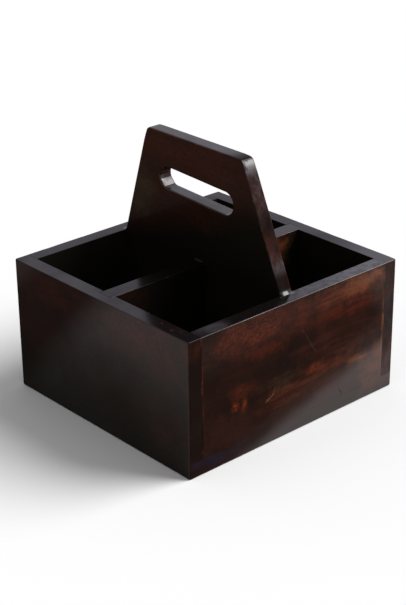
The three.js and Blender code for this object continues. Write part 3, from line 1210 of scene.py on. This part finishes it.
# Lacquer that gathered at the carrying board's foot
footLacquer = ((0, 0, 0.1108), (0, 0, -1), 0.001, 1.0)
handleEndPaint = paintOf(
    "brown", "russet", 0.6, 0.5, 0.62, smeared=0.7,
    # Painted shade: the slanted end turns dark towards its foot
    shading=[("dark", (0, 0, 0.1245), (0, 0, -1), 0.004, 0.9)],
    patches=[
        ("dark", (0.068, 0.002, 0.156), (0.030, 0.012, 0.018), 1.0, "Cloud"),
        ("cherry", (0.075, -0.003, 0.141), (0.030, 0.005, 0.009), 0.6, "Smear"),
        # Painted shade at the foot
        ("shade", (0.085, 0, 0.114), (0.030, 0.008, 0.007), 1.0, "Cloud"),
    ],
    polish=[
        ((0, -0.002, 0.190), (0, -0.4, 1), 0.005, 1.0),
        ((0, 0, 0.167), (0, 0, -1), 0.009, 0.12),
        ((0, 0, 0.133), (0, 0, -1), 0.006, 0.85),
        ((0, 0, 0.1225), (0, 0, -1), 0.004, 0.06),
        ((-0.034, 0, 0.16), (-1, 0, 0), 0.004, 1.0),
        footLacquer,
    ],
)
handleBoardLook = {
    **paintOf("brown", "chestnut", 0.9, 0.3, 0.04),
    "grain": "X", "seed": (5.5, 0.3, 0.6), "fleck": 0.3, "wornWidth": 1.0 * mm, "worn": 0.45,
    # Painted shade: the face turns near black below a slanting line, and takes the shade tone low down
    # inside the box
    "shading": [
        ("deepShade", (0, 0, 0.148), (0.37, 0, -1), 0.022, 1.0),
        ("shade", (0, 0, 0.090), (0, 0, -1), 0.016, 0.9),
    ],
    "patches": sidePatches(1, 0, [
        ("chestnut", -5, 188, 80, 26, 0.9, "Cloud"),
        ("cherry", -10, 190, 60, 16, 0.4, "Speckle"),
        ("olive", -68, 148, 24, 24, 1.0, "Cloud"),
        ("russet", 6, 141, 26, 9, 0.3, "Smear"),
        ("umber", 46, 140, 22, 22, 0.4, "Smear"),
    ]),
    "faces": [
        (rightward, handleEndPaint),
        (upward, topPaint(0.70, ground="umber", polish=[
            ((0.036, 0, handleTop), (1, 0, 0), 0.010, 0.17),
            ((-0.0390, 0, 0.157), (-1, 0, -1), 0.003, 1.0),
            footLacquer,
        ])),
    ],
}

dividerBoardLook = {
    **paintOf("dark", "russet", 0.6, 0.4, 0.05),
    # Its inner faces take the deepest painted shade
    "grain": "Y", "seed": (6.4, 0.4, 0.3), "fleck": 0.25, "insideShadeTone": "deepShade",
    "wornBox": wornBoxOf(dividerBox, 1), "wornWidth": 0.7 * mm, "worn": 0.4,
    # Painted light where light reaches the divider's sides, over their painted shade
    "paintedLight": [
        ("orange", (0.007, 0.055, 0.100), (0.004, 0.040, 0.022), 1.0, "Cloud"),
        ("ember", (0.007, 0.066, 0.098), (0.004, 0.020, 0.014), 0.8, "Streak"),
        ("russet", (0.007, -0.085, 0.095), (0.004, 0.020, 0.020), 0.6, "Cloud"),
    ],
    "faces": [(upward, topPaint(0.45, polish=[
        ((0, -0.044, rim), (0, 1, 0), 0.020, 0.12),
        ((0, 0.030, rim), (0, 1, 0), 0.010, 0.6),
    ]))],
}

finish = {
    "front": makeLacqueredWood("frontWallLacquer", frontWallLook),
    "back": makeLacqueredWood("backWallLacquer", backWallLook),
    "left": makeLacqueredWood("leftWallLacquer", leftWallLook),
    "right": makeLacqueredWood("rightWallLacquer", rightWallLook),
    "base": makeLacqueredWood("baseBoardLacquer", baseBoardLook),
    "handle": makeLacqueredWood("carryingBoardLacquer", handleBoardLook),
    "divider": makeLacqueredWood("dividerLacquer", dividerBoardLook),
}


# Drawn wire, and what it is where it has tarnished a little
steelLook = {
    "colour": (srgb(150, 146, 140), srgb(92, 70, 56)),
    "roughness": (0.32, 0.6),
    "metallic": (1.0, 0.4),
    "tarnishNoise": (900.0, 4.0, 0.6),
    "tarnishRange": (0.4, 0.65),
}


def makePinSteel():
    look = steelLook
    material, kit = newMaterial("pinSteel")
    place = kit.add("ShaderNodeTexCoord").outputs["Object"]
    tarnish = kit.spread(kit.noise(place, *look["tarnishNoise"]), *look["tarnishRange"])
    addShader(kit, {
        "Base Color": kit.tint(tarnish, *look["colour"]),
        "Roughness": kit.blend(tarnish, *look["roughness"]),
        "Metallic": kit.blend(tarnish, *look["metallic"]),
    })
    return material


def dressPiece(piece, material):
    piece.data.materials.clear()
    piece.data.materials.append(material)
    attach(piece, "root")


nodes = {"base": "base_board", "handle": "handle_board", "divider": "cross_divider"}
for word, board in boards.items():
    dressPiece(board, finish[word])
    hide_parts(nodes.get(word, word + "_wall"))
for word, piece in stopping.items():
    dressPiece(piece, finish[word])

pinSteel = makePinSteel()
for name in pins:
    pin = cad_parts[name]
    pin.data.materials.clear()
    pin.data.materials.append(pinSteel)

# Floor, room and lamp
print("setting the stage")
stageLook = {
    "floorColour": srgb(246, 246, 246),
    "floorSize": 16.0,
    "floorRoughness": 0.9,
    "ambient": 0.38,
    "mirroredColour": (0.90, 0.875, 1.0, 1.0),
    "windowStrength": 3.4,
    "windowAngle": math.radians(42),
    "windowSide": (0.42, 0.62, 0.66),
}

deselectAll()
bpy.ops.mesh.primitive_plane_add(size=stageLook["floorSize"], location=(0, 0, 0))
floor = bpy.context.active_object
floor.name = "studioFloor"
floorPaint = bpy.data.materials.new("studioFloorPaint")
floorPaint.use_nodes = True
floorShader = floorPaint.node_tree.nodes["Principled BSDF"].inputs
floorShader["Base Color"].default_value = stageLook["floorColour"]
floorShader["Roughness"].default_value = stageLook["floorRoughness"]
floorShader["Specular IOR Level"].default_value = 0.0
floor.data.materials.append(floorPaint)

# The camera and the gloss see a white room, which lights the wood more softly than that
world = bpy.data.worlds.new("studioRoom")
bpy.context.scene.world = world
world.use_nodes = True
world.node_tree.nodes.clear()
room = NodeKit(world.node_tree)
path = room.add("ShaderNodeLightPath").outputs
mirrored = room.math("MAXIMUM", path["Is Glossy Ray"], path["Is Transmission Ray"])
seen = room.math("MAXIMUM", path["Is Camera Ray"], mirrored)
walls = room.add("ShaderNodeBackground", {
    "Color": room.tint(mirrored, (1, 1, 1, 1), stageLook["mirroredColour"]),
    "Strength": room.blend(seen, stageLook["ambient"], 1.0),
})
room.add("ShaderNodeOutputWorld", {"Surface": walls.outputs[0]})

window = bpy.data.lights.new("backWindow", "SUN")
window.energy = stageLook["windowStrength"]
window.angle = stageLook["windowAngle"]
windowObject = bpy.data.objects.new("backWindow", window)
windowObject.rotation_euler = Vector(stageLook["windowSide"]).to_track_quat("Z", "Y").to_euler()
bpy.context.scene.collection.objects.link(windowObject)

# Camera, placed by the photo's own edges
cameraLook = {
    "azimuth": math.radians(48.16),
    "elevation": math.radians(24.87),
    "roll": math.radians(-0.57),
    "distance": 1.1793,
    "aside": -1.84 * mm,
    "aimHeight": 71.6 * mm,
    "lens": 90.77,
    "sensorHeight": 36,
}


def addCamera():
    look = cameraLook
    azimuth, elevation, roll = look["azimuth"], look["elevation"], look["roll"]
    flat = math.cos(elevation)
    back = Vector((math.sin(azimuth) * flat, -math.cos(azimuth) * flat, math.sin(elevation)))
    level = Vector((math.cos(azimuth), math.sin(azimuth), 0))
    upright = back.cross(level)
    right = level * math.cos(roll) + upright * math.sin(roll)
    up = upright * math.cos(roll) - level * math.sin(roll)
    eye = right * look["aside"] + Vector((0, 0, look["aimHeight"])) + back * look["distance"]
    data = bpy.data.cameras.new("photoCamera")
    data.sensor_fit = "VERTICAL"
    data.sensor_height = look["sensorHeight"]
    data.lens = look["lens"]
    camera = bpy.data.objects.new("photoCamera", data)
    camera.matrix_world = Matrix.Translation(eye) @ Matrix((right, up, back)).transposed().to_4x4()
    bpy.context.scene.collection.objects.link(camera)
    bpy.context.scene.camera = camera


addCamera()
bpy.context.scene.view_settings.view_transform = "Standard"
